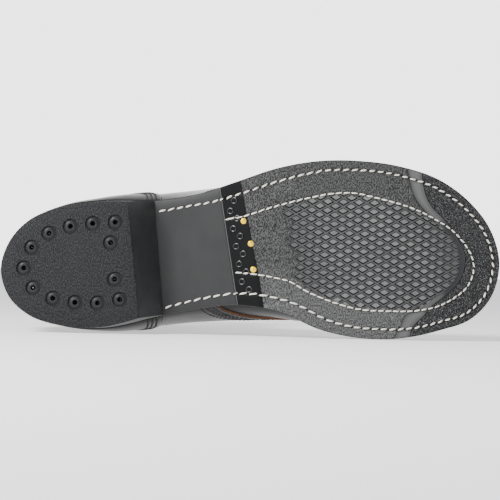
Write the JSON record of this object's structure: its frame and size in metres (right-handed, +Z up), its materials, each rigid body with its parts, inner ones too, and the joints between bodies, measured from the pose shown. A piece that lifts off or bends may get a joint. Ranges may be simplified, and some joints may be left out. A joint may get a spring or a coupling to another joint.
{
  "type": "jump boot",
  "caption": "Black leather jump boot for the right foot, lying on its medial side: laced high shaft, toe cap, counter, stitched welt, grained half sole and nailed heel",
  "frame": {"origin": "on the floor, under the middle of the boot's box as it lies on its medial side", "axes": "+X from heel to toe, +Y from the sole towards the collar, +Z up from the floor towards the lateral side"},
  "size_m": [0.314, 0.2792, 0.1095],
  "materials": {
    "upper_leather": "polished black leather",
    "tongue_leather": "soft black leather",
    "welt": "black edge dressing",
    "outsole": "smooth dark grey sole",
    "half_sole": "grained grey rubber with a diamond tread",
    "heel": "fine-grained dark grey rubber",
    "insole": "plain tan leather",
    "lace": "braided black cord",
    "eyelet": "black enamel",
    "brass_nail": "worn brass"
  },
  "bodies": {
    "root": {"backstay": "upper_leather", "brass_nail_1": "brass_nail", "brass_nail_2": "brass_nail", "brass_nail_3": "brass_nail", "collar_binding": "upper_leather", "counter": "upper_leather", "eyelet_lateral_01": "eyelet", "eyelet_lateral_02": "eyelet", "eyelet_lateral_03": "eyelet", "eyelet_lateral_04": "eyelet", "eyelet_lateral_05": "eyelet", "eyelet_lateral_06": "eyelet", "eyelet_lateral_07": "eyelet", "eyelet_lateral_08": "eyelet", "eyelet_lateral_09": "eyelet", "eyelet_lateral_10": "eyelet", "eyelet_medial_01": "eyelet", "eyelet_medial_02": "eyelet", "eyelet_medial_03": "eyelet", "eyelet_medial_04": "eyelet", "eyelet_medial_05": "eyelet", "eyelet_medial_06": "eyelet", "eyelet_medial_07": "eyelet", "eyelet_medial_08": "eyelet", "eyelet_medial_09": "eyelet", "eyelet_medial_10": "eyelet", "half_sole": "half_sole", "heel": "heel", "insole": "insole", "lace_bar": "lace", "lace_cross_1": "lace", "lace_cross_2": "lace", "lace_cross_3": "lace", "lace_cross_4": "lace", "lace_cross_5": "lace", "lace_cross_6": "lace", "lace_cross_7": "lace", "lace_cross_8": "lace", "lace_cross_9": "lace", "outsole": "outsole", "quarter_lateral": "upper_leather", "quarter_medial": "upper_leather", "toe_cap": "upper_leather", "tongue": "tongue_leather", "upper": "upper_leather", "welt": "welt"}
  },
  "joints": []
}
